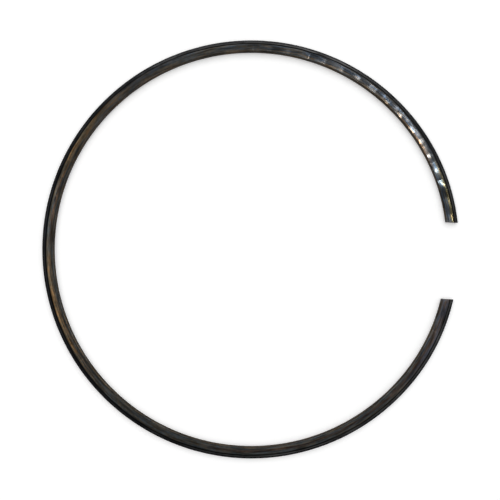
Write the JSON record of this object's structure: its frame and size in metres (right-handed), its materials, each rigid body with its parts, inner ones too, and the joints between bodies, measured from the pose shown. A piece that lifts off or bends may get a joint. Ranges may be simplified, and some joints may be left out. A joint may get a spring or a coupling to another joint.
{
  "type": "snap ring",
  "caption": "Open round snap ring of flat spring steel wire, with a stepped and bevelled outer edge and a wide gap between its plain square-cut ends.",
  "frame": {"origin": "on the ring's axis, in the plane of its flat underside", "axes": "+Z along the ring's axis, out of the stepped and bevelled face; +X from the axis towards the middle of the end gap"},
  "size_m": [0.1484, 0.15, 0.002],
  "materials": {
    "tempered_steel": "dark oil-tempered spring steel with fine lines along the wire and faint brown and blue temper tints"
  },
  "bodies": {
    "root": {"snap_ring": "tempered_steel"}
  },
  "joints": []
}
